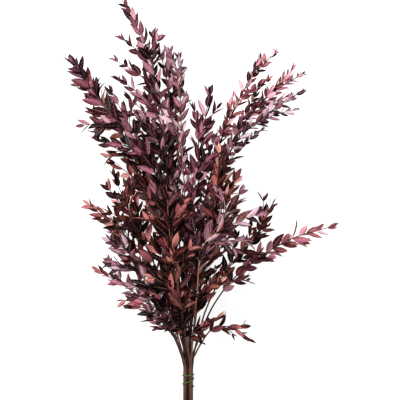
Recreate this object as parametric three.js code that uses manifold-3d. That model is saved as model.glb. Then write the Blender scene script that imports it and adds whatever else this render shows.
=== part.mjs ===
// A tied bunch of dried, dyed small-leaved eucalyptus, lying on its side on a surface.
// Millimetres. +Y runs from the cut ends to the tips, +Z is up, and the surface is Z = 0.
// Nineteen branches and a twine tie: each branch is one grown piece, with its stem, its
// side sprigs and its leaves, and no branch touches another.

import * as THREE from "three";
import { mergeVertices } from "three/addons/utils/BufferGeometryUtils.js";
import Module from "manifold-3d";

// The bunch as a whole
const bunchReach = 575; // from the tie to the highest tip
const bunchSpread = 200; // from the bunch's axis to the sprays on either side
const bunchDepth = 130; // from the surface to the highest spray
const cutLength = 45; // stems below the tie
const straightLength = 10; // stems above the tie before they fan out

// Stems
const stemDiameter = 2.8; // at the tie
const stemTipDiameter = 1.4;
const stemGap = 0.3; // between neighbouring stems in the tie
const sprayGap = 2.2; // between neighbouring stems above it
const flareLength = 60; // over which the one gap becomes the other
const sprigDiameter = 1.7;
const sprigTipDiameter = 1.1;
const sprigBend = 0.45; // of a sprig's reach, over which it still runs the stem's way
const budLength = 5; // of a sprig that has no room, which lies along its stem

// Leaves
const leafLength = 26;
const leafWidth = 10.5;
const leafThickness = 1.8;
const leafAngle = 38; // degrees between a leaf and its stem
const endLeafAngle = 6; // and at the stem's end
const endLeafPlace = 0.97; // of the stem's length
const leafSizes = [0.85, 1.15]; // from a stem's end down, as shares of the full size
const firstTurn = 25; // degrees round the stem, for the pair nearest its end
const leafGap = 0.3; // to the next branch
const firstPlace = 0.3; // of the pair spacing, from a stem's end to its first pair
const stemPairSpacing = 150; // between pairs of leaves along a stem
const sprigPairSpacing = 54; // and along a sprig
const widestShare = 0.42; // of a leaf's length, from its base
const leafyShare = 0.62; // of a stem's length, from its tip down
const leafySprigShare = 0.7; // and of a sprig's

// Tie
const tieDiameter = 1.8;
const tieGap = 0.3; // between the tie and the stems

// Each branch: its route above the tie and the tips of its sprigs. A point is given in
// hundredths of the spread (sideways), the reach (along) and the depth (up). A sprig's
// first number is the share of the stem's length at which it leaves.
const branches = [
  {
    tone: "plum",
    route: [[-13, 50, 38], [-21, 74, 42], [-31, 88, 38], [-48, 100, 32]],
    sprigs: [[0.7, -54, 85, 26], [0.78, -48, 90, 44], [0.78, -27, 92, 26], [0.54, -37, 70, 50],
      [0.62, -52, 80, 36], [0.57, -44, 75, 26]],
  },
  {
    tone: "plum",
    route: [[-9, 50, 17], [-14, 70, 16], [-15, 88, 12]],
    sprigs: [[0.84, -22, 88, 20], [0.76, -9, 80, 9], [0.62, -33, 76, 12], [0.5, -32, 67, 24]],
  },
  {
    tone: "mauve",
    route: [[-2, 46, 52], [-5, 70, 64], [-6, 85, 60]],
    sprigs: [[0.86, -11, 84, 70], [0.8, -2, 75, 56], [0.66, -22, 76, 66]],
  },
  {
    tone: "plum",
    route: [[-14, 42, 64], [-30, 60, 80], [-58, 71, 84], [-84, 83, 78]],
    sprigs: [[0.88, -79, 82, 86], [0.8, -80, 78, 70], [0.68, -54, 75, 92], [0.62, -60, 63, 74],
      [0.74, -74, 67, 84]],
  },
  {
    tone: "rust",
    route: [[-18, 42, 20], [-40, 60, 17], [-62, 72, 15], [-77, 81, 13]],
    sprigs: [[0.62, -68, 64, 22], [0.5, -58, 58, 12], [0.72, -74, 72, 12], [0.42, -45, 58, 26]],
  },
  {
    tone: "plum",
    route: [[3, 44, 66], [10, 62, 76], [16, 75, 78]],
    sprigs: [[0.84, 21, 71, 86], [0.74, 5, 71, 84], [0.58, 19, 63, 82]],
  },
  {
    tone: "rose",
    route: [[14, 50, 42], [30, 68, 46], [48, 80, 45], [66, 87, 40]],
    sprigs: [[0.76, 61, 80, 32], [0.84, 54, 85, 50], [0.66, 34, 75, 52]],
  },
  {
    tone: "rose",
    route: [[16, 46, 21], [36, 65, 20], [62, 76, 18], [88, 82, 14]],
    sprigs: [[0.76, 79, 76, 10], [0.82, 80, 83, 26], [0.68, 56, 79, 28]],
  },
  {
    tone: "mauve",
    route: [[19, 44, 58], [34, 62, 68], [62, 71, 70], [84, 76, 68]],
    sprigs: [[0.78, 78, 71, 76], [0.62, 54, 66, 60]],
  },
  {
    tone: "rust",
    route: [[12, 30, 62], [23, 44, 72], [34, 54, 78]],
    sprigs: [[0.6, 23, 60, 84], [0.74, 27, 59, 70], [0.62, 35, 47, 68]],
  },
  {
    tone: "mauve",
    route: [[7, 24, 78], [12, 37, 92], [26, 41, 98], [50, 45, 99]],
    sprigs: [[0.74, 38, 50, 98], [0.66, 42, 38, 94]],
  },
  {
    tone: "dark",
    route: [[14, 20, 52], [30, 31, 68], [50, 39, 74], [62, 47, 74]],
    sprigs: [[0.84, 55, 48, 82], [0.76, 58, 41, 66], [0.6, 36, 39, 60]],
  },
  {
    tone: "rose",
    route: [[19, 20, 30], [42, 30, 40], [78, 38, 42], [107, 41, 38]],
    sprigs: [[0.45, 44, 27, 30], [0.56, 61, 33, 50], [0.74, 86, 37, 32]],
  },
  {
    tone: "dark",
    route: [[9, 9, 14], [20, 14, 20], [35, 14, 21], [47, 11, 16]],
    sprigs: [[0.7, 43, 15, 28], [0.62, 35, 12, 12], [0.22, 11, 12, 30]],
  },
  {
    tone: "dark",
    route: [[-19, 27, 62], [-40, 43, 78], [-57, 51, 80]],
    sprigs: [[0.76, -52, 54, 88], [0.66, -56, 45, 72], [0.6, -40, 52, 88]],
  },
  {
    tone: "rust",
    route: [[-21, 25, 30], [-45, 38, 36], [-75, 47, 36]],
    sprigs: [[0.8, -68, 43, 27], [0.62, -56, 40, 46], [0.7, -54, 47, 28], [0.54, -47, 52, 24]],
  },
  {
    tone: "mauve",
    route: [[-18, 19, 46], [-36, 30, 60], [-57, 38, 62]],
    sprigs: [[0.76, -47, 40, 70], [0.66, -57, 32, 54], [0.5, -38, 23, 64]],
  },
  {
    tone: "rose",
    route: [[-15, 14, 15], [-40, 23, 17], [-68, 29, 14]],
    sprigs: [[0.74, -60, 32, 24], [0.5, -50, 21, 9], [0.3, -24, 14, 18]],
  },
  {
    tone: "dark",
    route: [[-4, 20, 74], [-12, 38, 92], [-15, 52, 94]],
    sprigs: [[0.66, -28, 49, 88], [0.72, -3, 47, 98], [0.46, -27, 38, 90], [0.5, 2, 36, 96]],
  },
];

const tones = {
  plum: { color: 0x663c45, roughness: 0.72 },
  dark: { color: 0x41201d, roughness: 0.7 },
  mauve: { color: 0x744c54, roughness: 0.74 },
  rust: { color: 0x723632, roughness: 0.72 },
  rose: { color: 0x925c63, roughness: 0.76 },
};
const tieFinish = { color: 0x3f4a2c, roughness: 0.9 };

// Detail of the faceted solids
const stemSides = 4;
const stemStep = 38; // length of a straight stretch
const sprigSides = 3;
const sprigSteps = 3;
const tieSides = 6;
const tieSteps = 44;
const easeRounds = 60;
const drawIn = 0.85; // a sprig's reach at each try, as a share of the last
const leastReach = 0.1;
const liftStep = 4;
const mostLift = 24;
const turnTries = [0, 20, -20, 40, -40, 65, -65]; // degrees that a leaf turns aside to be clear

const upward = new THREE.Vector3(0, 0, 1);

const wasm = await Module();
wasm.setup();

function toSolid(geometry) {
  const bare = geometry.clone();
  bare.deleteAttribute("normal");
  bare.deleteAttribute("uv");
  const merged = mergeVertices(bare, 1e-4);
  const mesh = new wasm.Mesh({
    numProp: 3,
    vertProperties: new Float32Array(merged.attributes.position.array),
    triVerts: new Uint32Array(merged.index.array),
  });
  return new wasm.Manifold(mesh);
}

function toGeometry(solid) {
  const mesh = solid.getMesh();
  const geometry = new THREE.BufferGeometry();
  geometry.setAttribute("position", new THREE.BufferAttribute(mesh.vertProperties, 3));
  geometry.setIndex(new THREE.BufferAttribute(mesh.triVerts, 1));
  geometry.computeVertexNormals();
  return geometry;
}

// The stems lie in the tie as a bundle: one in the middle, six round it and twelve round those.
const stemPitch = stemDiameter + stemGap;
const bundleRadius = 2 * stemPitch + stemDiameter / 2;
const bundleHeight = bundleRadius + tieGap + tieDiameter;

function bundlePlaces() {
  const rings = [[], [], []];
  for (let row = -2; row <= 2; row++) {
    for (let column = -2; column <= 2; column++) {
      const ring = (Math.abs(row) + Math.abs(column) + Math.abs(row + column)) / 2;
      if (ring <= 2) {
        const across = stemPitch * (column + row / 2);
        const up = (stemPitch * row * Math.sqrt(3)) / 2;
        rings[ring].push(new THREE.Vector2(across, up));
      }
    }
  }
  return rings.map((ring) => ring.sort((a, b) => a.angle() - b.angle()));
}

// A point in hundredths of the spread, reach and depth, in millimetres.
function inBunch([across, along, up]) {
  return new THREE.Vector3(
    (across / 100) * bunchSpread,
    (along / 100) * bunchReach,
    (up / 100) * bunchDepth,
  );
}

// The branches that fan out most lie on the bundle's outside, in the order of their direction.
function assignPlaces() {
  const fans = branches.map((branch, index) => {
    const first = inBunch(branch.route[0]);
    const lean = new THREE.Vector2(first.x / first.y, (first.z - bundleHeight) / first.y);
    return { index, lean };
  });
  const middle = new THREE.Vector2();
  fans.forEach((fan) => middle.addScaledVector(fan.lean, 1 / fans.length));
  fans.forEach((fan) => fan.lean.sub(middle));
  fans.sort((a, b) => a.lean.length() - b.lean.length());
  const places = [];
  let taken = 0;
  for (const ring of bundlePlaces()) {
    const group = fans.slice(taken, taken + ring.length);
    group.sort((a, b) => a.lean.angle() - b.lean.angle());
    group.forEach((fan, k) => {
      places[fan.index] = ring[k];
    });
    taken += ring.length;
  }
  return places;
}

// A stem's middle: straight through the tie and just past it, then a smooth curve through its
// route, given as points from ring to ring. The first two points are in the bundle.
function stemLine(place, route) {
  const cut = new THREE.Vector3(place.x, -cutLength, bundleHeight + place.y);
  const exit = cut.clone().setY(straightLength);
  const ahead = cut.clone().setY(2 * straightLength);
  const curve = new THREE.CatmullRomCurve3([exit, ahead, ...route.map(inBunch)]);
  const steps = Math.round(curve.getLength() / stemStep);
  return [cut, ...curve.getSpacedPoints(steps)];
}

// Stems that pass closer than the gap are moved apart, half each. In the bundle they stay.
function easeApart(lines) {
  const first = new THREE.Line3();
  const second = new THREE.Line3();
  const onFirst = new THREE.Vector3();
  const onSecond = new THREE.Vector3();
  for (let round = 0; round < easeRounds; round++) {
    for (let a = 0; a < lines.length; a++) {
      for (let b = a + 1; b < lines.length; b++) {
        for (let i = 1; i < lines[a].length - 1; i++) {
          for (let j = 1; j < lines[b].length - 1; j++) {
            first.set(lines[a][i], lines[a][i + 1]);
            second.set(lines[b][j], lines[b][j + 1]);
            const distance = Math.sqrt(first.distanceSqToLine3(second, onFirst, onSecond));
            const lack = gapAt(onFirst.y) - distance;
            if (lack > 0) {
              const away = onFirst.clone().sub(onSecond).setLength(lack / 2);
              moveNear(lines[a], i, onFirst, away);
              moveNear(lines[b], j, onSecond, away.negate());
            }
          }
        }
      }
    }
  }
}

// The least distance between two stems' middles: it widens above the tie.
function gapAt(along) {
  const open = THREE.MathUtils.smoothstep(along, straightLength, straightLength + flareLength);
  return stemDiameter + THREE.MathUtils.lerp(stemGap, sprayGap, open);
}

// Moves the two ends of one stretch of a line, the nearer end further.
function moveNear(line, at, point, move) {
  const share = point.distanceTo(line[at]) / line[at].distanceTo(line[at + 1]);
  if (at > 1) {
    line[at].addScaledVector(move, 1 - share);
  }
  line[at + 1].addScaledVector(move, share);
}

// A round rod that tapers along a line of points: a cylinder with a ring at each of them.
function taperedRod(line, startRadius, endRadius, sides) {
  const steps = line.length - 1;
  const rod = new THREE.CylinderGeometry(endRadius, startRadius, 1, sides, steps);
  const position = rod.attributes.position;
  const point = new THREE.Vector3();
  for (let i = 0; i < position.count; i++) {
    const ring = Math.round((position.getY(i) + 0.5) * steps);
    const forward = line[Math.min(ring + 1, steps)].clone().sub(line[Math.max(ring - 1, 0)]);
    const side = new THREE.Vector3().crossVectors(forward, upward).normalize();
    const above = new THREE.Vector3().crossVectors(side, forward).normalize();
    point.copy(line[ring]);
    point.addScaledVector(side, position.getX(i));
    point.addScaledVector(above, position.getZ(i));
    position.setXYZ(i, point.x, point.y, point.z);
  }
  return toSolid(rod);
}

// The point at a share of a rod's length, on its own middle, and the way that it runs there.
function onRod(line, share) {
  const steps = line.length - 1;
  const ring = Math.min(Math.floor(share * steps), steps - 1);
  const forward = line[ring + 1].clone().sub(line[ring]);
  const point = line[ring].clone().addScaledVector(forward, share * steps - ring);
  return { point, forward: forward.normalize() };
}

// A leaf: a folded blade, a kite seen from above. Its midrib runs straight from base to tip
// below, and its two edges stand higher. The base lies on the middle of the rod that bears it,
// so the leaf starts inside the rod at any thickness of either.
function leafBlade(leaf, grow) {
  const blade = new THREE.TetrahedronGeometry(1);
  const position = blade.attributes.position;
  const corner = new THREE.Vector3();
  const point = new THREE.Vector3();
  for (let i = 0; i < position.count; i++) {
    corner.fromBufferAttribute(position, i);
    point.copy(leaf.base);
    if (corner.z * corner.x > 0) {
      const tip = corner.x > 0;
      point.addScaledVector(leaf.heading, tip ? leaf.length + grow : 0);
      point.addScaledVector(leaf.face, tip ? -leafThickness / 2 - grow : 0);
    } else {
      const way = Math.sign(corner.x);
      point.addScaledVector(leaf.heading, widestShare * leaf.length);
      point.addScaledVector(leaf.side, way * (leaf.width / 2 + grow));
      point.addScaledVector(leaf.face, leafThickness / 2 + grow);
    }
    position.setXYZ(i, point.x, point.y, point.z);
  }
  return toSolid(blade);
}

// Every solid placed so far, with the branch that it belongs to.
const placed = [];

function place(solid, owner) {
  placed.push({ solid, owner, box: solid.boundingBox() });
}

function boxesMeet(a, b) {
  return [0, 1, 2].every((k) => a.min[k] < b.max[k] && b.min[k] < a.max[k]);
}

// True where a solid is above the surface and meets no other branch.
function isClear(solid, owner) {
  const box = solid.boundingBox();
  if (box.min[2] < 0) {
    return false;
  }
  return placed.every((other) => {
    if (other.owner === owner || !boxesMeet(box, other.box)) {
      return true;
    }
    const common = solid.intersect(other.solid);
    const empty = common.isEmpty();
    common.delete();
    return empty;
  });
}

// A sprig leaves its stem forwards and curves to its tip. One that would meet another branch
// is raised or lowered, and drawn in, until it is clear. With no room at all it stays a bud.
function growSprig(stem, [share, ...tip], owner) {
  const { point: start, forward } = onRod(stem, share);
  for (let reach = 1; reach > leastReach; reach *= drawIn) {
    for (let lift = 0; lift <= mostLift; lift += liftStep) {
      for (const way of [1, -1]) {
        const end = start.clone().lerp(inBunch(tip), reach);
        end.z += way * lift;
        const bend = start.clone().addScaledVector(forward, sprigBend * start.distanceTo(end));
        const line = new THREE.QuadraticBezierCurve3(start, bend, end).getPoints(sprigSteps);
        if (isClear(sprigRod(line, leafGap), owner)) {
          return line;
        }
      }
    }
  }
  const bud = start.clone().addScaledVector(forward, budLength);
  return new THREE.LineCurve3(start, bud).getPoints(sprigSteps);
}

function sprigRod(line, grow) {
  return taperedRod(line, sprigDiameter / 2 + grow, sprigTipDiameter / 2 + grow, sprigSides);
}

// One leaf at a share of a stem's length, turned round the stem. It turns on until it is clear.
function growLeaf(line, share, turn, open, size, owner) {
  const { point: middle, forward } = onRod(line, share);
  const across = upward.clone().cross(forward).normalize();
  for (const extra of turnTries) {
    const outward = across.clone().applyAxisAngle(forward, THREE.MathUtils.degToRad(turn + extra));
    const lean = THREE.MathUtils.degToRad(open);
    const heading = forward.clone().multiplyScalar(Math.cos(lean));
    heading.addScaledVector(outward, Math.sin(lean));
    const side = new THREE.Vector3().crossVectors(forward, outward);
    const face = new THREE.Vector3().crossVectors(side, heading);
    const leaf = { base: middle, heading, side, face, length: leafLength * size, width: leafWidth * size };
    if (isClear(leafBlade(leaf, leafGap), owner)) {
      return leafBlade(leaf, 0);
    }
  }
  return null;
}

// Opposite pairs of leaves, each pair turned a quarter from the last, and one leaf at the tip.
function growLeaves(line, from, spacing, owner) {
  const length = new THREE.CatmullRomCurve3(line).getLength();
  const count = Math.max(1, Math.round((length * (1 - from)) / spacing));
  const leaves = [growLeaf(line, endLeafPlace, 90, endLeafAngle, leafSizes[0], owner)];
  for (let k = 0; k < count; k++) {
    const share = 1 - (firstPlace + k) * ((1 - from) / count);
    const size = THREE.MathUtils.lerp(leafSizes[0], leafSizes[1], k / count);
    const turn = firstTurn + 90 * k;
    for (const opposite of [0, 180]) {
      leaves.push(growLeaf(line, share, turn + opposite, leafAngle, size, owner));
    }
  }
  return leaves.filter((leaf) => leaf !== null);
}

function growStems() {
  const places = assignPlaces();
  const lines = branches.map((branch, k) => stemLine(places[k], branch.route));
  easeApart(lines);
  return lines;
}

function growBranches() {
  const grown = growStems().map((stem, owner) => {
    const solid = taperedRod(stem, stemDiameter / 2, stemTipDiameter / 2, stemSides);
    place(solid, owner);
    return { stem, sprigs: [], solids: [solid] };
  });
  grown.forEach((branch, owner) => {
    for (const sprig of branches[owner].sprigs) {
      const line = growSprig(branch.stem, sprig, owner);
      const solid = sprigRod(line, 0);
      place(solid, owner);
      branch.sprigs.push(line);
      branch.solids.push(solid);
    }
  });
  grown.forEach((branch, owner) => {
    const leaves = growLeaves(branch.stem, 1 - leafyShare, stemPairSpacing, owner);
    for (const sprig of branch.sprigs) {
      leaves.push(...growLeaves(sprig, 1 - leafySprigShare, sprigPairSpacing, owner));
    }
    for (const leaf of leaves) {
      place(leaf, owner);
      branch.solids.push(leaf);
    }
  });
  return grown.map((branch) => branch.solids.reduce((whole, solid) => whole.add(solid)));
}

// The tie: a length of twine that goes flat round the bundle once, crosses it on a slant and
// comes round again below. Pairs of turns taken and place along the bundle.
const tieCourse = [[0, 6], [0.5, 5.6], [1, 3], [1.5, -4.5], [2, -11.5], [2.35, -12.5]];

function tieGeometry() {
  const radius = bundleRadius + tieGap + tieDiameter / 2;
  const course = new THREE.SplineCurve(tieCourse.map(([turns, along]) => new THREE.Vector2(turns, along)));
  const route = course.getPoints(tieSteps).map((at) => {
    const angle = 2 * Math.PI * at.x - Math.PI / 2;
    return new THREE.Vector3(
      radius * Math.cos(angle),
      at.y,
      bundleHeight + radius * Math.sin(angle),
    );
  });
  const corners = [];
  for (let k = 0; k < tieSides; k++) {
    const turn = (2 * Math.PI * k) / tieSides;
    corners.push(new THREE.Vector2(Math.cos(turn), Math.sin(turn)).multiplyScalar(tieDiameter / 2));
  }
  return new THREE.ExtrudeGeometry(new THREE.Shape(corners), {
    steps: tieSteps,
    bevelEnabled: false,
    extrudePath: new THREE.CatmullRomCurve3(route),
  });
}

function buildBunch() {
  const bunch = new THREE.Group();
  growBranches().forEach((solid, k) => {
    const finish = tones[branches[k].tone];
    const material = new THREE.MeshStandardMaterial({ ...finish, metalness: 0 });
    const mesh = new THREE.Mesh(toGeometry(solid), material);
    mesh.name = `branch_${String(k + 1).padStart(2, "0")}`;
    bunch.add(mesh);
  });
  const material = new THREE.MeshStandardMaterial({ ...tieFinish, metalness: 0 });
  const tie = new THREE.Mesh(tieGeometry(), material);
  tie.name = "tie";
  bunch.add(tie);
  return bunch;
}

// The origin is the middle of the bunch's outline, on the surface that it lies on.
function onSurface(bunch) {
  const box = new THREE.Box3().setFromObject(bunch);
  const middle = box.getCenter(new THREE.Vector3());
  bunch.position.set(-middle.x, -middle.y, -box.min.z);
  return bunch;
}

const group = onSurface(buildBunch());

export default group;
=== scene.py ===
import math

import bpy
import numpy as np
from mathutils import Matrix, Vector


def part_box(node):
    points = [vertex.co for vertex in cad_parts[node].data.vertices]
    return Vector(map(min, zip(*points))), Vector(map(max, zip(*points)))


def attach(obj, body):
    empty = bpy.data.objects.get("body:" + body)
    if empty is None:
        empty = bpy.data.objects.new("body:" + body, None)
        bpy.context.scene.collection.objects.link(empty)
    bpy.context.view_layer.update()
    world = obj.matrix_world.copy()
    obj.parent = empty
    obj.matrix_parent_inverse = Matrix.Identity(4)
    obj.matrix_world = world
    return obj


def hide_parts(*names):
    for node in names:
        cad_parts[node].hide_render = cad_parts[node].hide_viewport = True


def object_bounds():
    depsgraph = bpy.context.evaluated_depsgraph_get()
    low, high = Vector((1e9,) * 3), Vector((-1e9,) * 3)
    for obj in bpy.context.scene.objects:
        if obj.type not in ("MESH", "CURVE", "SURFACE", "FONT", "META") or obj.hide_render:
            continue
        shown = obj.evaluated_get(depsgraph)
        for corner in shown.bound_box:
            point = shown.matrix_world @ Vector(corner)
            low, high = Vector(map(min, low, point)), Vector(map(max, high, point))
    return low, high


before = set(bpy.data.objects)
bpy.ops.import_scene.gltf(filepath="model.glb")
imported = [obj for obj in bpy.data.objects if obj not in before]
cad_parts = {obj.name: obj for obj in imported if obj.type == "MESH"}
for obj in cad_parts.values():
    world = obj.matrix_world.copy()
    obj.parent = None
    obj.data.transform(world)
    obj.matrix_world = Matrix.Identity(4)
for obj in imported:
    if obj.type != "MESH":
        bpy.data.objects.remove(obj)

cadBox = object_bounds()

# A tied bunch of dried, dyed small-leaved eucalyptus, lying on a pale surface and seen from above.
# Metres. +Y runs from the cut ends to the tips, and +Z is up.

mm = 0.001

bunch = {
    "reach": 575 * mm,  # from the tie to the highest tip
    "spread": 200 * mm,  # from the bunch's axis to the sprays on either side
    "depth": 130 * mm,  # from the surface to the highest spray
    "cut": 45 * mm,  # stems below the tie
    "straight": 10 * mm,  # stems above the tie before they fan out
    "stemWidth": 2.8 * mm,
    "stemTipWidth": 1.3 * mm,
    "stemGap": 0.3 * mm,  # between stems in the tie
    "sprayGap": 2.2 * mm,  # and above it
    "flare": 60 * mm,  # over which the one gap becomes the other
    "tieWidth": 1.8 * mm,
    "tieGap": 0.3 * mm,
}

up = np.array([0.0, 0.0, 1.0])

# the tie gives the bunch's axis, and a cut end gives the place along it
tieLow, tieHigh = (np.array(corner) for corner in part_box("tie"))
stemPitch = bunch["stemWidth"] + bunch["stemGap"]
bundleRadius = 2 * stemPitch + bunch["stemWidth"] / 2
axisHeight = bundleRadius + bunch["tieGap"] + bunch["tieWidth"]
origin = np.array([
    (tieLow[0] + tieHigh[0]) / 2,
    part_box("branch_01")[0][1] + bunch["cut"],
    tieLow[2],
])


view = {
    "middle": (18.5 * mm, 277 * mm, 60 * mm),  # from the tie
    "width": 600 * mm,  # seen at the bunch's middle height
    "lens": 85,
    "sensor": 36,
}


def addCamera():
    # straight down, from where the seen width just fills the sensor's
    data = bpy.data.cameras.new("camera")
    data.lens = view["lens"]
    data.sensor_width = view["sensor"]
    camera = bpy.data.objects.new("camera", data)
    distance = view["width"] * view["lens"] / view["sensor"]
    middle = origin + np.array(view["middle"])
    camera.location = (middle[0], middle[1], middle[2] + distance)
    camera.rotation_euler = (0, 0, 0)  # tips at the top
    bpy.context.scene.collection.objects.link(camera)
    bpy.context.scene.camera = camera


studio = {
    "floor": "#7f7f7f",
    "floorSize": 40.0,
    "floorGlow": 0.6,  # white glass lit from below, which keeps shadows faint
    "sky": "#ffffff",
    "skyStrength": 0.45,
    "keySize": 0.9,
    "keyPower": 68,
    "keyPlace": (-0.9, 0.9, 1.6),
    "fillSize": 2.2,
    "fillPower": 6,
    "fillPlace": (1.3, -0.6, 1.5),
}


def toLinear(hexColour):
    # an sRGB hex colour as linear red, green, blue and alpha
    value = np.array([int(hexColour[k:k + 2], 16) for k in (1, 3, 5)]) / 255
    value = np.where(value <= 0.04045, value / 12.92, ((value + 0.055) / 1.055) ** 2.4)
    return (*value.tolist(), 1.0)


def addNode(tree, kind, inputs=None, **settings):
    # a node with its settings; an input is a value, or another node's output to link
    node = tree.nodes.new(kind)
    for name, value in settings.items():
        setattr(node, name, value)
    for name, value in (inputs or {}).items():
        if isinstance(value, bpy.types.NodeSocket):
            tree.links.new(value, node.inputs[name])
        else:
            node.inputs[name].default_value = value
    return node


def newMaterial(name):
    # a material with an empty tree
    material = bpy.data.materials.new(name)
    material.use_nodes = True
    material.node_tree.nodes.clear()
    return material, material.node_tree


def aimAt(place, target):
    # the turn that points a light's -Z at the target
    return (Vector(target) - Vector(place)).to_track_quat("-Z", "Y").to_euler()


def addStudio():
    # a square floor of lit glass, a key and a fill light that face the bunch, and a plain sky
    size = studio["floorSize"] / 2
    corners = [(-size, -size, 0), (size, -size, 0), (size, size, 0), (-size, size, 0)]
    mesh = bpy.data.meshes.new("floor")
    mesh.from_pydata(corners, [], [(0, 1, 2, 3)])
    floor = bpy.data.objects.new("floor", mesh)
    bpy.context.scene.collection.objects.link(floor)
    material, tree = newMaterial("litOpalGlass")
    shader = addNode(tree, "ShaderNodeBsdfPrincipled", {
        "Base Color": toLinear(studio["floor"]), "Roughness": 0.9, "Specular IOR Level": 0.1,
        "Emission Color": toLinear(studio["sky"]), "Emission Strength": studio["floorGlow"]})
    addNode(tree, "ShaderNodeOutputMaterial", {"Surface": shader.outputs["BSDF"]})
    mesh.materials.append(material)
    target = origin + np.array(view["middle"])
    for part in ("key", "fill"):
        data = bpy.data.lights.new(part, "AREA")
        data.shape = "DISK"
        data.size = studio[part + "Size"]
        data.energy = studio[part + "Power"]
        light = bpy.data.objects.new(part, data)
        light.location = target + np.array(studio[part + "Place"])
        light.rotation_euler = aimAt(light.location, target)
        bpy.context.scene.collection.objects.link(light)
    world = bpy.data.worlds.new("sky")
    world.use_nodes = True
    background = world.node_tree.nodes["Background"]
    background.inputs["Color"].default_value = toLinear(studio["sky"])
    background.inputs["Strength"].default_value = studio["skyStrength"]
    bpy.context.scene.world = world
    bpy.context.scene.view_settings.view_transform = "Standard"  # whites stay white
    bpy.context.scene.view_settings.look = "High Contrast"


addCamera()
addStudio()
print("camera, floor and light")


def smoothLine(points, count):
    # a centripetal Catmull-Rom curve through the points, as count points at equal steps
    points = np.asarray(points, float)
    points = np.vstack([2 * points[0] - points[1], points, 2 * points[-1] - points[-2]])
    knots = np.cumsum(np.r_[0, np.linalg.norm(np.diff(points, axis=0), axis=1) ** 0.5])
    spans = len(points) - 3
    steps = 40
    at = np.linspace(0, 1, steps, endpoint=False)
    k = np.repeat(np.arange(spans), steps)
    t = knots[k + 1] + np.tile(at, spans) * (knots[k + 2] - knots[k + 1])
    k, t = np.r_[k, spans - 1], np.r_[t, knots[-2]]

    def mix(a, b, i, j):
        share = ((t - knots[k + i]) / (knots[k + j] - knots[k + i]))[:, None]
        return a * (1 - share) + b * share

    p = [points[k + i] for i in range(4)]
    a = [mix(p[i], p[i + 1], i, i + 1) for i in range(3)]
    b = [mix(a[i], a[i + 1], i, i + 2) for i in range(2)]
    return resample(mix(b[0], b[1], 1, 2), count)


def lengthsAlong(line):
    # how far along the line each of its points is
    return np.r_[0, np.cumsum(np.linalg.norm(np.diff(line, axis=0), axis=1))]


def pointAt(line, shares):
    # points at shares of a line's length
    along = lengthsAlong(line)
    return np.stack([np.interp(shares * along[-1], along, line[:, k]) for k in range(3)], axis=-1)


def resample(line, count):
    # the same line as count points at equal steps
    return pointAt(line, np.linspace(0, 1, count))


def unit(vectors):
    # each vector divided by its length
    return vectors / np.maximum(np.linalg.norm(vectors, axis=-1, keepdims=True), 1e-12)


def headingAt(line, shares):
    # the direction from just before each share of the line to just after it
    step = 0.01
    ahead, behind = np.minimum(shares + step, 1), np.maximum(shares - step, 0)
    return unit(pointAt(line, ahead) - pointAt(line, behind))


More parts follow.
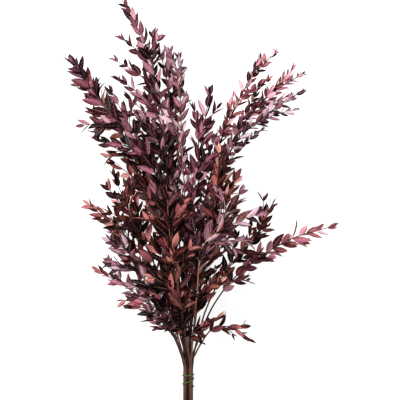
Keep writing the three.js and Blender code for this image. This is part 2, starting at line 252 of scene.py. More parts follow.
# Each branch: its colour, how pale its leaves are on average, their size, the share of the stem
# above the tie where they start, the stretch with small filling sprigs, how many twigs each long
# sprig has, its route above the tie and its sprigs' tips. Points are hundredths of the spread,
# the reach and the depth, and a sprig's first number is where it leaves, as a share of the stem
# above the tie.
branches = [
    {"tone": "plum", "pale": 0.4, "size": 1.05, "leafy": 0.4, "fill": (0.22, 0.86), "twigs": 1,
     "route": [(-13, 50, 38), (-21, 74, 42), (-31, 88, 38), (-48, 100, 32)],
     "sprigs": [(0.7, -54, 85, 26), (0.78, -48, 90, 44), (0.78, -27, 92, 26), (0.54, -37, 70, 50),
                (0.62, -52, 80, 36), (0.57, -44, 75, 26)]},
    {"tone": "plum", "pale": 0.4, "size": 0.95, "leafy": 0.4, "fill": (0.22, 0.72), "twigs": 1,
     "route": [(-9, 50, 17), (-14, 70, 16), (-15, 88, 12)],
     "sprigs": [(0.84, -22, 88, 20), (0.76, -9, 80, 9), (0.62, -33, 76, 12), (0.5, -32, 67, 24)]},
    {"tone": "mauve", "pale": 0.42, "size": 0.95, "leafy": 0.35, "fill": (0.22, 0.62), "twigs": 1,
     "route": [(-2, 46, 52), (-5, 70, 64), (-6, 85, 60)],
     "sprigs": [(0.86, -11, 84, 70), (0.8, -2, 75, 56), (0.66, -22, 76, 66)]},
    {"tone": "plum", "pale": 0.2, "size": 1.2, "leafy": 0.34, "fill": (0.22, 0.7), "twigs": 1,
     "route": [(-14, 42, 64), (-30, 60, 80), (-58, 71, 84), (-84, 83, 78)],
     "sprigs": [(0.88, -79, 82, 86), (0.8, -80, 78, 70), (0.68, -54, 75, 92), (0.62, -60, 63, 74),
                (0.74, -74, 67, 84)]},
    {"tone": "rust", "pale": 0.46, "size": 1.18, "leafy": 0.35, "fill": (0.22, 0.8), "twigs": 1,
     "route": [(-18, 42, 20), (-40, 60, 17), (-62, 72, 15), (-77, 81, 13)],
     "sprigs": [(0.62, -68, 64, 22), (0.5, -58, 58, 12), (0.72, -74, 72, 12), (0.42, -45, 58, 26)]},
    {"tone": "plum", "pale": 0.4, "size": 1.15, "leafy": 0.33, "fill": (0.14, 0.75), "twigs": 1,
     "route": [(3, 44, 66), (10, 62, 76), (16, 75, 78)],
     "sprigs": [(0.84, 21, 71, 86), (0.74, 5, 71, 84), (0.58, 19, 63, 82)]},
    {"tone": "rose", "pale": 0.5, "size": 0.78, "leafy": 0.38, "fill": (0.22, 0.5), "twigs": 0,
     "route": [(14, 50, 42), (30, 68, 46), (48, 80, 45), (66, 87, 40)],
     "sprigs": [(0.76, 61, 80, 32), (0.84, 54, 85, 50), (0.66, 34, 75, 52)]},
    {"tone": "rose", "pale": 0.54, "size": 0.78, "leafy": 0.42, "fill": (0.22, 0.46), "twigs": 0,
     "route": [(16, 46, 21), (36, 65, 20), (62, 76, 18), (88, 82, 14)],
     "sprigs": [(0.76, 79, 76, 10), (0.82, 80, 83, 26), (0.68, 56, 79, 28)]},
    {"tone": "mauve", "pale": 0.48, "size": 0.78, "leafy": 0.44, "fill": (0.22, 0.44), "twigs": 0,
     "route": [(19, 44, 58), (34, 62, 68), (62, 71, 70), (84, 76, 68)],
     "sprigs": [(0.78, 78, 71, 76), (0.62, 54, 66, 60)]},
    {"tone": "rust", "pale": 0.45, "size": 1.2, "leafy": 0.3, "fill": (0.14, 0.75), "twigs": 1,
     "route": [(12, 30, 62), (23, 44, 72), (34, 54, 78)],
     "sprigs": [(0.6, 23, 60, 84), (0.74, 27, 59, 70), (0.62, 35, 47, 68)]},
    {"tone": "mauve", "pale": 0.52, "size": 1.22, "leafy": 0.56, "fill": (0.56, 0.8), "twigs": 1,
     "route": [(7, 24, 78), (12, 37, 92), (26, 41, 98), (50, 45, 99)],
     "sprigs": [(0.74, 38, 50, 98), (0.66, 42, 38, 94)]},
    {"tone": "dark", "pale": 0.36, "size": 1, "leafy": 0.5, "fill": (0.6, 0.75), "twigs": 0,
     "route": [(14, 20, 52), (30, 31, 68), (50, 39, 74), (62, 47, 74)],
     "sprigs": [(0.84, 55, 48, 82), (0.76, 58, 41, 66), (0.6, 36, 39, 60)]},
    {"tone": "rose", "pale": 0.5, "size": 1.15, "leafy": 0.4, "fill": (0.5, 0.5), "twigs": 0,
     "route": [(19, 20, 30), (42, 30, 40), (78, 38, 42), (107, 41, 38)],
     "sprigs": [(0.45, 44, 27, 30), (0.56, 61, 33, 50), (0.74, 86, 37, 32)]},
    {"tone": "dark", "pale": 0.5, "size": 0.95, "leafy": 0.48, "fill": (0, 0), "twigs": 0,
     "route": [(9, 9, 14), (20, 14, 20), (35, 14, 21), (47, 11, 16)],
     "sprigs": [(0.7, 43, 15, 28), (0.62, 35, 12, 12), (0.22, 11, 12, 30)]},
    {"tone": "dark", "pale": 0.34, "size": 1.1, "leafy": 0.3, "fill": (0.22, 0.78), "twigs": 1,
     "route": [(-19, 27, 62), (-40, 43, 78), (-57, 51, 80)],
     "sprigs": [(0.76, -52, 54, 88), (0.66, -56, 45, 72), (0.6, -40, 52, 88)]},
    {"tone": "rust", "pale": 0.46, "size": 1, "leafy": 0.35, "fill": (0.14, 0.6), "twigs": 1,
     "route": [(-21, 25, 30), (-45, 38, 36), (-75, 47, 36)],
     "sprigs": [(0.8, -68, 43, 27), (0.62, -56, 40, 46), (0.7, -54, 47, 28), (0.54, -47, 52, 24)]},
    {"tone": "mauve", "pale": 0.48, "size": 1.15, "leafy": 0.3, "fill": (0.22, 0.55), "twigs": 1,
     "route": [(-18, 19, 46), (-36, 30, 60), (-57, 38, 62)],
     "sprigs": [(0.76, -47, 40, 70), (0.66, -57, 32, 54), (0.5, -38, 23, 64)]},
    {"tone": "rose", "pale": 0.46, "size": 1.1, "leafy": 0.36, "fill": (0.14, 0.55), "twigs": 1,
     "route": [(-15, 14, 15), (-40, 23, 17), (-68, 29, 14)],
     "sprigs": [(0.74, -60, 32, 24), (0.5, -50, 21, 9), (0.3, -24, 14, 18)]},
    {"tone": "dark", "pale": 0.48, "size": 1.2, "leafy": 0.22, "fill": (0.13, 0.85), "twigs": 1,
     "route": [(-4, 20, 74), (-12, 38, 92), (-15, 52, 94)],
     "sprigs": [(0.66, -28, 49, 88), (0.72, -3, 47, 98), (0.46, -27, 38, 90), (0.5, 2, 36, 96)]},
]


def inBunch(point):
    # hundredths of the spread, the reach and the depth, as a place in metres
    share = np.array(point, float) / 100
    return origin + share * (bunch["spread"], bunch["reach"], bunch["depth"])


def bundlePlaces():
    # six-sided packing in rings round a middle stem, each ring sorted by angle
    row, column = (grid.ravel() for grid in np.mgrid[-2:3, -2:3])
    ring = (abs(row) + abs(column) + abs(row + column)) // 2
    spot = stemPitch * np.stack([column + row / 2, row * math.sqrt(3) / 2], axis=1)
    angle = np.arctan2(spot[:, 1], spot[:, 0]) % (2 * math.pi)
    return [spot[ring == k][np.argsort(angle[ring == k])] for k in range(3)]


def assignPlaces():
    # the branches that fan out most lie outside, in the order of their direction
    first = np.array([inBunch(branch["route"][0]) for branch in branches]) - origin
    lean = np.stack([first[:, 0] / first[:, 1], (first[:, 2] - axisHeight) / first[:, 1]], axis=1)
    lean = lean - lean.mean(axis=0)
    order = np.argsort(np.linalg.norm(lean, axis=1))
    angle = np.arctan2(lean[:, 1], lean[:, 0]) % (2 * math.pi)
    places = np.zeros((len(branches), 2))
    taken = 0
    for ring in bundlePlaces():
        group = order[taken:taken + len(ring)]
        places[group[np.argsort(angle[group])]] = ring
        taken += len(ring)
    return places


fan = {
    "points": 56,  # along a stem above the tie
    "rounds": 40,  # of easing the stems apart
    "smoothings": 2,  # of each push along its stem
    "fullPush": 0.25,  # share of the flare past which a push is no longer faded
}


def stemLines():
    # straight through the tie and just past it, then smoothly through the route
    lines = []
    for place, branch in zip(assignPlaces(), branches):
        cut = origin + (place[0], -bunch["cut"], axisHeight + place[1])
        leave = cut + (0, bunch["cut"] + bunch["straight"], 0)
        ahead = leave + (0, bunch["straight"], 0)
        line = smoothLine(
            [leave, ahead, *(inBunch(point) for point in branch["route"])], fan["points"])
        lines.append(np.vstack([cut, line]))
    return np.array(lines)


def easeApart(lines):
    # points of different stems that are nearer than the gap push each other away, half each;
    # the push is spread along the stem, and fades to nothing at the tie
    stems, count, _ = lines.shape
    owner = np.repeat(np.arange(stems), count)
    for _ in range(fan["rounds"]):
        flat = lines.reshape(-1, 3)
        away = flat[:, None] - flat[None]
        distance = np.linalg.norm(away, axis=2)
        free = np.clip((flat[:, 1] - origin[1] - bunch["straight"]) / bunch["flare"], 0, 1)
        gap = bunch["stemWidth"] + bunch["stemGap"] + (bunch["sprayGap"] - bunch["stemGap"]) * free
        lack = np.clip(gap[:, None] - distance, 0, None) * (owner[:, None] != owner[None])
        push = (away / np.maximum(distance, 1e-9)[:, :, None] * lack[:, :, None] / 2).sum(axis=1)
        push = push.reshape(lines.shape)
        for _ in range(fan["smoothings"]):
            push[:, 1:-1] = (push[:, :-2] + 2 * push[:, 1:-1] + push[:, 2:]) / 4
        lines = lines + push * np.minimum(free / fan["fullPush"], 1).reshape(stems, count, 1)
    return lines


def meshObject(name, vertices, faces, layers=None, sharp=None):
    # layers: a uv or one value for each point, by name; sharp: says which edges keep a crease
    mesh = bpy.data.meshes.new(name)
    mesh.from_pydata(vertices.tolist(), [], faces)
    corner = np.empty(len(mesh.loops), np.int32)
    mesh.loops.foreach_get("vertex_index", corner)
    for key, values in (layers or {}).items():
        if values.ndim == 2:
            uv = mesh.uv_layers.new(name=key)
            uv.uv.foreach_set("vector", values[corner].astype(np.float32).ravel())
        else:
            layer = mesh.attributes.new(key, "FLOAT", "POINT")
            layer.data.foreach_set("value", values.astype(np.float32))
    mesh.polygons.foreach_set("use_smooth", np.ones(len(mesh.polygons), bool))
    if sharp is not None:
        ends = np.empty(2 * len(mesh.edges), np.int32)
        mesh.edges.foreach_get("vertices", ends)
        layer = mesh.attributes.new("sharp_edge", "BOOLEAN", "EDGE")
        layer.data.foreach_set("value", sharp(ends.reshape(-1, 2)))
    mesh.validate()
    mesh.update()
    item = bpy.data.objects.new(name, mesh)
    bpy.context.scene.collection.objects.link(item)
    return item


stemUvLength = 0.1  # metres of stem for one unit of its pattern's length


def tube(line, radius, sides, tone=0.5):
    # a circle of the given radius carried along a line and closed at both ends by a fan
    count = len(line)
    heading = unit(np.gradient(line, axis=0))
    side = unit(np.cross(heading, up))
    above = np.cross(side, heading)
    angle = np.linspace(0, 2 * math.pi, sides, endpoint=False)
    across, upward = np.cos(angle)[None, :, None], np.sin(angle)[None, :, None]
    ring = across * side[:, None] + upward * above[:, None]
    points = line[:, None] + ring * np.broadcast_to(radius, count)[:, None, None]
    vertices = np.vstack([points.reshape(-1, 3), line[0], line[-1]])
    i, j = (grid.ravel() for grid in np.mgrid[0:count - 1, 0:sides])
    k = (j + 1) % sides
    quads = np.stack([i * sides + j, (i + 1) * sides + j, (i + 1) * sides + k, i * sides + k], axis=1)
    j = np.arange(sides)
    k = (j + 1) % sides
    last = (count - 1) * sides
    fans = np.vstack([
        np.stack([np.full(sides, count * sides), j, k], axis=1),
        np.stack([np.full(sides, count * sides + 1), last + k, last + j], axis=1),
    ])
    along = np.r_[np.repeat(lengthsAlong(line), sides), 0, lengthsAlong(line)[-1]]
    around = np.r_[np.tile(j / sides, count), 0.5, 0.5]
    end = np.zeros(len(vertices))
    end[-2:] = 1
    layers = {
        "stemUv": np.stack([along / stemUvLength, around], axis=1),
        "stemTone": np.full(len(vertices), tone),
        "cutEnd": end,
    }
    return vertices, quads[:, ::-1].tolist() + fans[:, ::-1].tolist(), layers


def joined(parts):
    # several meshes as one, with their layers
    vertices = np.vstack([part[0] for part in parts])
    faces = []
    start = 0
    for part in parts:
        faces += [[start + index for index in face] for face in part[1]]
        start += len(part[0])
    layers = {key: np.concatenate([part[2][key] for part in parts]) for key in parts[0][2]}
    return vertices, faces, layers


sprigs = {
    "width": 1.5 * mm,
    "tipWidth": 1.0 * mm,
    "filling": 11,  # small sprigs on a stem besides the chosen ones, on a full stretch of it
    "length": 78 * mm,  # of a filling sprig near the tie
    "endLength": 36 * mm,
    "angle": 28,  # degrees to the stem
    "twigPlaces": (0.4,),  # where a long chosen sprig branches again, as shares of its length
    "twigFrom": 60 * mm,  # shortest sprig that does
    "twigLength": 0.38,  # of its sprig's length
    "twigWidth": 1.2 * mm,
    "bend": 0.45,  # how far along its reach a sprig first runs forwards
    "turn": 137.5,  # degrees from one filling sprig to the next
    "turnJitter": 20,
    "late": 0.6,  # most that a filling sprig is past its place, of the step to the next
    "angleSpread": (-6, 8),  # degrees added to the angle of a filling sprig
    "twigTurn": 0.5,  # radians, most that a twig is turned from lying sideways
    "twigAngleSpread": (-4, 10),
    "rise": 0.7,  # of a shoot's reach up or down, as a share of its reach sideways
    "lengthShares": (0.8, 1.15),  # least and most of a sprig's own length
    "fullStretch": 0.78,  # of a stem, that the count of filling sprigs is for
    "least": 8 * mm,  # height of a tip over the surface
    "headroom": 10 * mm,  # of a tip below the top of the whole bunch
    "leafyFrom": 0.22,  # share of a sprig where its leaves start
}


def sprigLine(stem, share, tip, count=12):
    # a sprig leaves forwards and bends evenly to its tip
    start = pointAt(stem, np.array([share]))[0]
    forward = headingAt(stem, np.array([share]))[0]
    bend = start + forward * sprigs["bend"] * np.linalg.norm(tip - start)
    t = np.linspace(0, 1, count)[:, None]
    return resample((1 - t) ** 2 * start + 2 * t * (1 - t) * bend + t ** 2 * tip, count)


def sideTip(line, share, turn, angle, length):
    # the tip of a shoot that leaves the line at an angle, turned round it from its right side
    at = np.array([share])
    forward = headingAt(line, at)[0]
    side = unit(np.cross(forward, up))
    above = np.cross(side, forward)
    outward = math.cos(turn) * side + sprigs["rise"] * math.sin(turn) * above
    tip = pointAt(line, at)[0] + length * (math.cos(angle) * forward + math.sin(angle) * outward)
    tip[2] = np.clip(tip[2], sprigs["least"], cadBox[1][2] - sprigs["headroom"])
    return tip


def fillingSprigs(stem, stretch, rng):
    # small sprigs up the stem, each turned by the golden angle from the last
    lines = []
    low, high = stretch
    count = round(sprigs["filling"] * (high - low) / sprigs["fullStretch"])
    for k in range(count):
        share = low + (high - low) * (k + rng.uniform(0, sprigs["late"])) / count
        jitter = rng.uniform(-sprigs["turnJitter"], sprigs["turnJitter"])
        turn = math.radians(sprigs["turn"] * k + jitter)
        length = sprigs["length"] * (1 - share) + sprigs["endLength"] * share
        angle = math.radians(sprigs["angle"] + rng.uniform(*sprigs["angleSpread"]))
        tip = sideTip(stem, share, turn, angle, length * rng.uniform(*sprigs["lengthShares"]))
        lines.append(sprigLine(stem, share, tip))
    return lines


def twigsOf(line, count, rng):
    # short side shoots of a chosen sprig, on one side and then the other
    lines = []
    full = lengthsAlong(line)[-1]
    length = full * sprigs["twigLength"]
    first = rng.integers(0, 2)
    count = count if full > sprigs["twigFrom"] else 0
    for k, share in enumerate(sprigs["twigPlaces"][:count]):
        turn = math.pi * (first + k) + rng.uniform(-sprigs["twigTurn"], sprigs["twigTurn"])
        angle = math.radians(sprigs["angle"] + rng.uniform(*sprigs["twigAngleSpread"]))
        tip = sideTip(line, share, turn, angle, length * rng.uniform(*sprigs["lengthShares"]))
        lines.append(sprigLine(line, share, tip, count=7))
    return lines


leaves = {
    "length": 26 * mm,  # halfway along a spray
    "tipLength": 15 * mm,  # at a spray's end
    "widthShare": 0.335,  # of its length
    "thickness": 0.5 * mm,
    "pairSpacing": 12 * mm,
    "pairTurns": (55, 14),  # degrees from lying sideways, by turns: once crossed, now pressed
    "openAngle": 36,  # degrees between a leaf and its stem, halfway along
    "tipOpenAngle": 20,
    "pressed": (0.2, 0.95),  # how far a leaf has turned flat, from packing: least and most
    "fold": (0.02, 0.45),  # radians that each half is folded up along the midrib
    "clearance": 1.2 * mm,  # least height over the surface
    "growing": 70 * mm,  # from a spray's end to where its leaves are full size
    "stagger": 0.25,  # of the spacing, that a pair is off its place at most
    "turnSpread": 14,  # degrees
    "openSpread": 7,
    "growth": 0.7,  # power of the distance from the tip in a leaf's length: below 1, soon full
    "firstPair": 0.35,  # of the spacing, from the tip to the nearest pair
    "endPlace": 0.995,  # share of the stem where the leaf at its tip starts
    "endAngle": 6,  # degrees, of that leaf
    "endSize": 0.9,  # of it, as a share of the leaves near the tip
    "sizes": (0.78, 1.18),  # least and most of a leaf's own length
    "widths": (0.8, 1.2),
    "faceUp": 0.8,  # share of the leaves that were pressed with their upper side up
    "bend": (0.1, 0.35),  # radians along a leaf: mean and spread
    "twist": 0.35,
    "sway": 0.25,
    "roll": 0.3,
    "wave": 0.1,  # of its half width, at the rim
    "waveLength": 5,  # radians of wave along a leaf
    "wavePhase": 6.3,  # radians, most that a wave is shifted: anywhere in its turn
    "rimThin": 0.75,  # of its thickness that is gone at the rim
    "liftRounds": 12,  # of turning a leaf that would go below the surface
    "liftTurn": 0.3,  # radians in a round, at most
    "stalk": 0.13,  # half width just past the base, as a share of the widest
    "paleSpread": 0.37,  # of the leaves' places from dark to pale round their branch's own
}


def leafPlaces(line, start, rng, size=1.0):
    # opposite pairs at even steps, turned by one pair turn and then the other, either way at
    # random, smaller and leaning out less towards the tip, and one leaf at the end; as arrays
    # of one row for each leaf
    length = lengthsAlong(line)[-1]
    spacing = leaves["pairSpacing"] * size
    pairs = max(2, int(length * (1 - start) / spacing))
    share = start + (1 - start) * (1 - (np.arange(pairs) + leaves["firstPair"]) / pairs)
    off = rng.uniform(-leaves["stagger"], leaves["stagger"], pairs)
    share = np.clip(share + off * (1 - start) / pairs, 0, 0.99)
    toTip = np.clip((1 - share) * length / leaves["growing"], 0, 1)  # 0 at the tip
    gain = (leaves["length"] - leaves["tipLength"]) * toTip ** leaves["growth"]
    big = leaves["tipLength"] + gain
    lean = leaves["tipOpenAngle"] + (leaves["openAngle"] - leaves["tipOpenAngle"]) * toTip
    turn = np.where(np.arange(pairs) % 2, *leaves["pairTurns"]) * rng.choice([-1, 1], pairs)
    share, big, lean = (np.repeat(value, 2) for value in (share, big, lean))
    turn = np.repeat(turn, 2) + np.tile([0, 180], pairs)
    turn = turn + rng.normal(0, leaves["turnSpread"], 2 * pairs)
    share, big, lean, turn = (np.r_[value, last] for value, last in (
        (share, leaves["endPlace"]), (big, leaves["tipLength"] * leaves["endSize"]),
        (lean, leaves["endAngle"]), (turn, rng.uniform(0, 360))))
    count = len(share)
    return {
        "base": pointAt(line, share),
        "forward": headingAt(line, share),
        "length": big * size * rng.uniform(*leaves["sizes"], count),
        "open": np.radians(lean + rng.normal(0, leaves["openSpread"], count)),
        "turn": np.radians(turn),
        "pressed": rng.uniform(*leaves["pressed"], count),
        "turned": np.where(rng.uniform(0, 1, count) < leaves["faceUp"], 1, -1),
    }


def leafFrames(spot):
    # heading, side and face of each leaf: it leans out from its stem by its open angle, facing
    # away from it, and has turned about its own length, by its pressed share, to lie flat
    forward = spot["forward"]
    across = unit(np.cross(up, forward))
    above = np.cross(forward, across)
    outward = np.cos(spot["turn"])[:, None] * across + np.sin(spot["turn"])[:, None] * above
    heading = np.cos(spot["open"])[:, None] * forward + np.sin(spot["open"])[:, None] * outward
    face = np.cross(np.cross(forward, outward), heading)
    flat = unit(up - heading * (heading @ up)[:, None])
    flat = flat * np.where((flat * face).sum(axis=1) * spot["turned"] < 0, -1, 1)[:, None]
    face = unit(face * (1 - spot["pressed"])[:, None] + flat * spot["pressed"][:, None])
    return heading, np.cross(heading, face), face


def liftFromSurface(spot):
    # a leaf whose tip would go below the surface turns round its stem to lie along it
    for _ in range(leaves["liftRounds"]):
        heading, _, _ = leafFrames(spot)
        low = spot["base"][:, 2] + heading[:, 2] * spot["length"] < leaves["clearance"]
        toUp = np.angle(np.exp(1j * (math.pi / 2 - spot["turn"])))
        step = np.clip(toUp, -leaves["liftTurn"], leaves["liftTurn"])
        spot["turn"] = spot["turn"] + np.where(low, step, 0)
    return spot


def leafSurfaces(spot, rng):
    # u runs from base to tip and v across. The half width is a stalk, then
    # u^0.9 (1 - u)^1.05 scaled to 1; the blade folds up along its midrib, its length bends
    # as an arc and twists, and its two sides are its thickness apart, less at the rim.
    count = len(spot["length"])
    u = np.array([0, 0.07, 0.17, 0.33, 0.5, 0.68, 0.86, 1])
    v = np.array([-1, -0.5, 0, 0.5, 1, 0])  # round the section: across the top, and back beneath
    beneath = np.array([0, 0, 0, 0, 0, 1])
    shape = u ** 0.9 * (1 - u) ** 1.05
    shape = shape / shape.max()
    shape[1] = leaves["stalk"]
    heading, side, face = leafFrames(spot)
    length = spot["length"][:, None, None]
    halfWidth = length * leaves["widthShare"] / 2 * rng.uniform(*leaves["widths"], (count, 1, 1))
    fold = rng.uniform(*leaves["fold"], (count, 1, 1))
    bend = rng.normal(*leaves["bend"], (count, 1, 1))
    twist = rng.normal(0, leaves["twist"], (count, 1, 1))
    sway = rng.normal(0, leaves["sway"], (count, 1, 1))
    roll = rng.normal(0, leaves["roll"], (count, 1, 1))
    wave = rng.normal(0, leaves["wave"], (count, 1, 1))
    phase = rng.uniform(0, leaves["wavePhase"], (count, 1, 1))
    uu, vv, under = u[None, :, None], v[None, None, :], beneath[None, None, :]
    w = halfWidth * shape[None, :, None]
    thick = leaves["thickness"] * (1 - leaves["rimThin"] * abs(vv))
    thick = thick * np.minimum(1, shape[None, :, None] * 3)  # and thinner where it is narrow
    flat = w * vv * np.cos(fold)
    rise = -w * abs(vv) * np.sin(fold)
    rise = rise - wave * w * np.sin(leaves["waveLength"] * uu + phase) * vv ** 2
    rise = rise + (under - 0.5) * thick
    angle = roll + twist * uu
    turned = flat * np.cos(angle) - rise * np.sin(angle)
    rise = flat * np.sin(angle) + rise * np.cos(angle)
    safe = np.where(abs(bend) < 1e-3, 1e-3, bend)
    ahead = length * np.sin(safe * uu) / safe - np.sin(safe * uu) * rise
    above = length * (1 - np.cos(safe * uu)) / safe + np.cos(safe * uu) * rise
    aside = turned + length * sway * uu ** 2 / 2
    points = spot["base"][:, None, None] + sum(
        part[..., None] * axis[:, None, None]
        for part, axis in ((ahead, heading), (aside, side), (above, face)))
    return points, u, v, beneath


def leafMesh(name, spot, pale, rng):
    # all the leaves of a branch as one mesh; each is a closed shell with a pole at each end
    points, u, v, beneath = leafSurfaces(spot, rng)
    count, rings, around, _ = points.shape
    rim, rib = 1, 0  # the section's |v| at its edges and at its midrib
    inner = points[:, 1:-1].reshape(count, -1, 3)
    poles = points[:, [0, -1], 2]
    vertices = np.concatenate([inner, poles], axis=1).reshape(-1, 3)
    least = leaves["clearance"] / 2  # heights below it are squeezed, and none comes to the surface
    low = vertices[:, 2] < least
    vertices[low, 2] = least * np.exp(np.clip(vertices[low, 2] / least - 1, -3, 0))
    size = inner.shape[1] + 2
    i, j = (grid.ravel() for grid in np.mgrid[0:rings - 3, 0:around])
    k = (j + 1) % around
    here, ahead = i * around, (i + 1) * around
    quads = np.stack([here + j, here + k, ahead + k, ahead + j], axis=1)
    j = np.arange(around)
    k = (j + 1) % around
    last = (rings - 3) * around
    fans = np.vstack([
        np.stack([np.full(around, size - 2), k, j], axis=1),
        np.stack([np.full(around, size - 1), last + j, last + k], axis=1),
    ])
    starts = np.arange(count) * size
    faces = (starts[:, None, None] + quads).reshape(-1, 4).tolist()
    faces += (starts[:, None, None] + fans).reshape(-1, 3).tolist()
    uvOne = np.stack(np.broadcast_arrays(u[1:-1, None], (v / 2 + 0.5)[None]), axis=-1).reshape(-1, 2)
    layers = {
        "leafUv": np.tile(np.vstack([uvOne, [[0, 0.5], [1, 0.5]]]), (count, 1)),
        "leafUnder": np.tile(np.r_[np.tile(beneath, rings - 2), 0.5, 0.5], count),
        "leafPale": np.repeat(np.clip(rng.normal(pale, leaves["paleSpread"], count), 0, 1), size),
        "leafRed": np.repeat(rng.uniform(0, 1, count), size),
    }
    across = np.r_[np.tile(abs(v), rings - 2), -1, -1]

    def creased(ends):
        a, b = ends[:, 0] % size, ends[:, 1] % size
        return (across[a] == across[b]) & ((across[a] == rim) | (across[a] == rib))

    return meshObject(name, vertices, faces, layers, creased)


tones = {
    "plum": ["#0d0303", "#35131a", "#70434c", "#a07c86"],  # dark, deep, middle and pale
    "dark": ["#040101", "#1a0806", "#4e2824", "#93625e"],
    "mauve": ["#100505", "#472226", "#7b535b", "#a59098"],
    "rust": ["#0e0201", "#401612", "#76443f", "#a37a74"],
    "rose": ["#1b0706", "#602c30", "#985f66", "#c09399"],
}


def driedLeafMaterial(name, tone):
    # eucalyptus leaves preserved in dye and dried: a matt, faintly waxy skin that catches a soft
    # highlight; the dye took unevenly, so a leaf is patchy and no two are alike; the midrib and
    # side veins stand paler, the rim and tip dried darker, and the underside is chalky
    material, tree = newMaterial(name)
    uv = addNode(tree, "ShaderNodeUVMap", uv_map="leafUv").outputs["UV"]
    leaf = addNode(tree, "ShaderNodeSeparateXYZ", {0: uv})
    along = leaf.outputs["X"]
    inward = addNode(tree, "ShaderNodeMath", {  # 0 at the rim, and a half at the midrib
        0: leaf.outputs["Y"], 1: 0.5}, operation="PINGPONG").outputs[0]
    place = addNode(tree, "ShaderNodeTexCoord").outputs["Object"]
    pale = addNode(tree, "ShaderNodeAttribute", attribute_name="leafPale").outputs["Fac"]
    red = addNode(tree, "ShaderNodeAttribute", attribute_name="leafRed").outputs["Fac"]
    under = addNode(tree, "ShaderNodeAttribute", attribute_name="leafUnder").outputs["Fac"]

    patches = addNode(tree, "ShaderNodeTexNoise", {  # uneven dye, about 6 mm across
        "Vector": place, "Scale": 1 / (6 * mm), "Detail": 3.0, "Roughness": 0.6}).outputs["Fac"]
    cells = addNode(tree, "ShaderNodeTexNoise", {  # the skin's grain, drawn coarse at 0.7 mm
        "Vector": place, "Scale": 1 / (0.7 * mm), "Detail": 2.0}).outputs["Fac"]
    dye = addNode(tree, "ShaderNodeMath", {
        0: patches, 1: 0.5, 2: -0.25}, operation="MULTIPLY_ADD").outputs[0]
    dye = addNode(tree, "ShaderNodeMath", {0: dye, 1: pale}, operation="ADD").outputs[0]
    dye = addNode(tree, "ShaderNodeMath", {
        0: under, 1: 0.16, 2: dye}, operation="MULTIPLY_ADD").outputs[0]
    ramp = addNode(tree, "ShaderNodeValToRGB", {0: dye})
    stops = ramp.color_ramp.elements
    stops[0].color, stops[1].color = toLinear(tone[0]), toLinear(tone[3])
    stops.new(0.33).color = toLinear(tone[1])
    stops.new(0.66).color = toLinear(tone[2])
    hue = addNode(tree, "ShaderNodeMapRange", {0: red, 3: 0.48, 4: 0.515}).outputs[0]
    body = addNode(tree, "ShaderNodeHueSaturation", {"Hue": hue, "Color": ramp.outputs[0]}).outputs[0]

    rib = addNode(tree, "ShaderNodeMapRange", {0: inward, 1: 0.43, 2: 0.485}).outputs[0]
    # side veins rise from the midrib, six to a leaf, which is about 4 mm apart
    slant = addNode(tree, "ShaderNodeMath", {
        0: along, 1: 12.0, 2: inward}, operation="MULTIPLY_ADD").outputs[0]
    ripple = addNode(tree, "ShaderNodeMath", {0: slant, 1: 1.0}, operation="PINGPONG").outputs[0]
    vein = addNode(tree, "ShaderNodeMapRange", {0: ripple, 1: 0.7, 2: 1.0, 4: 0.35}).outputs[0]
    veins = addNode(tree, "ShaderNodeMath", {0: rib, 1: vein}, operation="MAXIMUM").outputs[0]
    veined = addNode(tree, "ShaderNodeMath", {0: veins, 1: 0.45}, operation="MULTIPLY").outputs[0]
    body = addNode(tree, "ShaderNodeMix", {
        0: veined, 6: body, 7: toLinear(tone[3])}, data_type="RGBA").outputs[2]
    rim = addNode(tree, "ShaderNodeMapRange", {0: inward, 1: 0.1, 2: 0.0, 4: 0.5}).outputs[0]
    tip = addNode(tree, "ShaderNodeMapRange", {0: along, 1: 0.82, 2: 1.0, 4: 0.5}).outputs[0]
    dried = addNode(tree, "ShaderNodeMath", {0: rim, 1: tip}, operation="MAXIMUM").outputs[0]
    body = addNode(tree, "ShaderNodeMix", {
        0: dried, 6: body, 7: toLinear(tone[0])}, data_type="RGBA").outputs[2]

    rough = addNode(tree, "ShaderNodeMapRange", {
        0: patches, 1: 0.3, 2: 0.7, 3: 0.42, 4: 0.62}).outputs[0]
    height = addNode(tree, "ShaderNodeMath", {
        0: cells, 1: 0.7, 2: veins}, operation="MULTIPLY_ADD").outputs[0]
    bump = addNode(tree, "ShaderNodeBump", {"Strength": 0.6, "Distance": 0.15 * mm, "Height": height})
    shader = addNode(tree, "ShaderNodeBsdfPrincipled", {
        "Base Color": body, "Roughness": rough, "Normal": bump.outputs[0],
        "Specular IOR Level": 0.16})
    addNode(tree, "ShaderNodeOutputMaterial", {"Surface": shader.outputs[0]})
    return material


barkColours = {"dark": "#140a09", "middle": "#51332b", "pale": "#977462", "cutEnd": "#b59a78"}


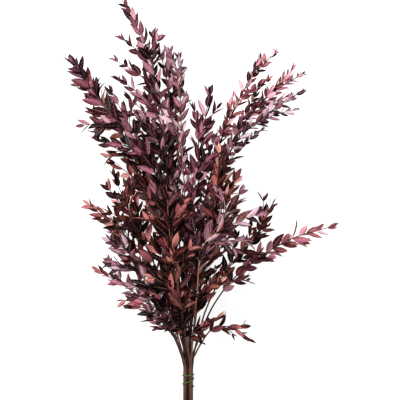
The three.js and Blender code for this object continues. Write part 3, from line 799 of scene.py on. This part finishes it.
def barkMaterial():
    # thin dried stems with smooth bark: streaks run along them, dye has left some nearly
    # black and others tan and pink, and the cut ends show paler wood
    material, tree = newMaterial("dyedSmoothBark")
    uv = addNode(tree, "ShaderNodeUVMap", uv_map="stemUv")
    place = addNode(tree, "ShaderNodeTexCoord").outputs["Object"]
    tone = addNode(tree, "ShaderNodeAttribute", attribute_name="stemTone").outputs["Fac"]
    end = addNode(tree, "ShaderNodeAttribute", attribute_name="cutEnd").outputs["Fac"]
    # streaks about 6 mm long and 0.6 mm wide
    stretch = addNode(tree, "ShaderNodeMapping", {"Vector": uv.outputs["UV"], "Scale": (6, 5, 1)})
    streak = addNode(tree, "ShaderNodeTexNoise", {
        "Vector": stretch.outputs["Vector"], "Scale": 3.0, "Detail": 4.0}).outputs["Fac"]
    patch = addNode(tree, "ShaderNodeTexNoise", {  # patches of about 12 mm
        "Vector": place, "Scale": 1 / (12 * mm), "Detail": 2.0}).outputs["Fac"]
    add = addNode(tree, "ShaderNodeMath", {0: streak, 1: patch}, operation="ADD").outputs[0]
    half = addNode(tree, "ShaderNodeMath", {
        0: add, 1: 0.3, 2: -0.3}, operation="MULTIPLY_ADD").outputs[0]
    depth = addNode(tree, "ShaderNodeMath", {0: tone, 1: half}, operation="ADD").outputs[0]
    ramp = addNode(tree, "ShaderNodeValToRGB", {"Fac": depth})
    ramp.color_ramp.elements[0].color = toLinear(barkColours["dark"])
    ramp.color_ramp.elements[1].color = toLinear(barkColours["pale"])
    ramp.color_ramp.elements.new(0.5).color = toLinear(barkColours["middle"])
    cut = addNode(tree, "ShaderNodeMix", {
        0: end, 6: ramp.outputs["Color"], 7: toLinear(barkColours["cutEnd"])}, data_type="RGBA")
    bump = addNode(tree, "ShaderNodeBump", {"Strength": 0.5, "Distance": 0.15 * mm, "Height": streak})
    shader = addNode(tree, "ShaderNodeBsdfPrincipled", {
        "Base Color": cut.outputs[2], "Roughness": 0.55, "Normal": bump.outputs["Normal"]})
    addNode(tree, "ShaderNodeOutputMaterial", {"Surface": shader.outputs["BSDF"]})
    return material


twineColours = {"dark": "#303f20", "pale": "#6d8a4c"}


def twineMaterial():
    # dull green garden twine: fibres give it uneven colour and a rough surface
    material, tree = newMaterial("greenTwistedTwine")
    place = addNode(tree, "ShaderNodeTexCoord").outputs["Object"]
    fibre = addNode(tree, "ShaderNodeTexNoise", {  # fibres, drawn at 0.4 mm
        "Vector": place, "Scale": 1 / (0.4 * mm), "Detail": 3.0}).outputs["Fac"]
    ramp = addNode(tree, "ShaderNodeValToRGB", {"Fac": fibre})
    ramp.color_ramp.elements[0].position = 0.3
    ramp.color_ramp.elements[0].color = toLinear(twineColours["dark"])
    ramp.color_ramp.elements[1].position = 0.75
    ramp.color_ramp.elements[1].color = toLinear(twineColours["pale"])
    bump = addNode(tree, "ShaderNodeBump", {"Strength": 0.7, "Distance": 0.2 * mm, "Height": fibre})
    shader = addNode(tree, "ShaderNodeBsdfPrincipled", {
        "Base Color": ramp.outputs["Color"], "Roughness": 0.85, "Normal": bump.outputs["Normal"]})
    addNode(tree, "ShaderNodeOutputMaterial", {"Surface": shader.outputs["BSDF"]})
    return material


leafMaterials = {
    tone: driedLeafMaterial(f"dyedDriedLeaf{tone.title()}", colours) for tone, colours in tones.items()}
bark = barkMaterial()
twine = twineMaterial()
print("materials")


wood = {
    "seed": 100,  # of the first branch
    "stemSides": 10,
    "sprigSides": 7,
    "paleSpread": (1.2, 1.6),  # shape of the spread of stems from dark to pale
    "paleLimits": (0.08, 0.95),
    "sprigPale": 0.8,  # of its stem's own paleness
}


def growBranch(index, stem, branch):
    # one branch: its stem, its chosen and filling sprigs and their twigs, and all their leaves
    rng = np.random.default_rng(wood["seed"] + index)
    node = f"branch_{index + 1:02d}"
    tone = branch["tone"]
    above = stem[1:]
    chosen = [sprigLine(above, share, inBunch(tip)) for share, *tip in branch["sprigs"]]
    small = fillingSprigs(above, branch["fill"], rng)
    twigs = [twig for line in chosen for twig in twigsOf(line, branch["twigs"], rng)]
    shoots = chosen + small + twigs
    lines = [(above, branch["leafy"])] + [(line, sprigs["leafyFrom"]) for line in shoots]
    spots = [leafPlaces(line, start, rng, branch["size"]) for line, start in lines]
    spot = liftFromSurface({key: np.concatenate([one[key] for one in spots]) for key in spots[0]})
    foliage = leafMesh(node + "_leaves", spot, branch["pale"], rng)
    foliage.data.materials.append(leafMaterials[tone])
    paleness = float(np.clip(rng.beta(*wood["paleSpread"]), *wood["paleLimits"]))
    width = np.linspace(bunch["stemWidth"], bunch["stemTipWidth"], len(stem))
    parts = [tube(stem, width / 2, wood["stemSides"], paleness)]
    widths = [sprigs["width"]] * len(chosen + small) + [sprigs["twigWidth"]] * len(twigs)
    for line, first in zip(shoots, widths):
        width = np.linspace(first, sprigs["tipWidth"], len(line))
        parts.append(tube(line, width / 2, wood["sprigSides"], paleness * wood["sprigPale"]))
    woody = meshObject(node + "_stems", *joined(parts))
    woody.data.materials.append(bark)
    for piece, slot in ((foliage, tone + "_leaves"), (woody, "stem_bark")):
        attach(piece, "root")
        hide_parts(node)
    return len(spot["length"])


# the tie goes flat round the bundle once, crosses it on a slant and comes round again below
tie = {
    # turns taken, and place along the bundle in millimetres
    "course": [(0, 6), (.5, 5.6), (1, 3), (1.5, -4.5), (2, -11.5), (2.35, -12.5)],
    "turnWeight": 10,  # millimetres that a turn counts for, where the course is smoothed
    "points": 420,
    "lay": 5 * mm,  # length in which a strand goes once round the other
    "strandSides": 8,
}


def addTie():
    # two strands twisted round each other along the tie's course
    radius = bundleRadius + bunch["tieGap"] + bunch["tieWidth"] / 2
    course = np.array([(turns, along, 0) for turns, along in tie["course"]], float)
    weight = (tie["turnWeight"], 1, 1)
    course = smoothLine(course * weight, tie["points"]) / weight
    angle = 2 * math.pi * course[:, 0] - math.pi / 2
    middle = origin + (0, 0, axisHeight)
    outward = np.stack([np.cos(angle), 0 * angle, np.sin(angle)], axis=1)
    line = middle + radius * outward
    line[:, 1] = origin[1] + course[:, 1] * mm
    heading = unit(np.gradient(line, axis=0))
    side = np.cross(heading, outward)
    twist = 2 * math.pi * lengthsAlong(line) / tie["lay"]
    strandRadius = bunch["tieWidth"] / 4
    parts = []
    for strand in (0, math.pi):
        offset = np.cos(twist + strand)[:, None] * outward + np.sin(twist + strand)[:, None] * side
        parts.append(tube(line + offset * strandRadius, strandRadius, tie["strandSides"]))
    piece = meshObject("tie_twine", *joined(parts))
    piece.data.materials.append(twine)
    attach(piece, "root")
    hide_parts("tie")


stems = easeApart(stemLines())
print("stems laid out")
total = sum(growBranch(k, stems[k], branches[k]) for k in range(len(branches)))
print(f"{total} leaves on {len(branches)} branches")
addTie()
print("tie")
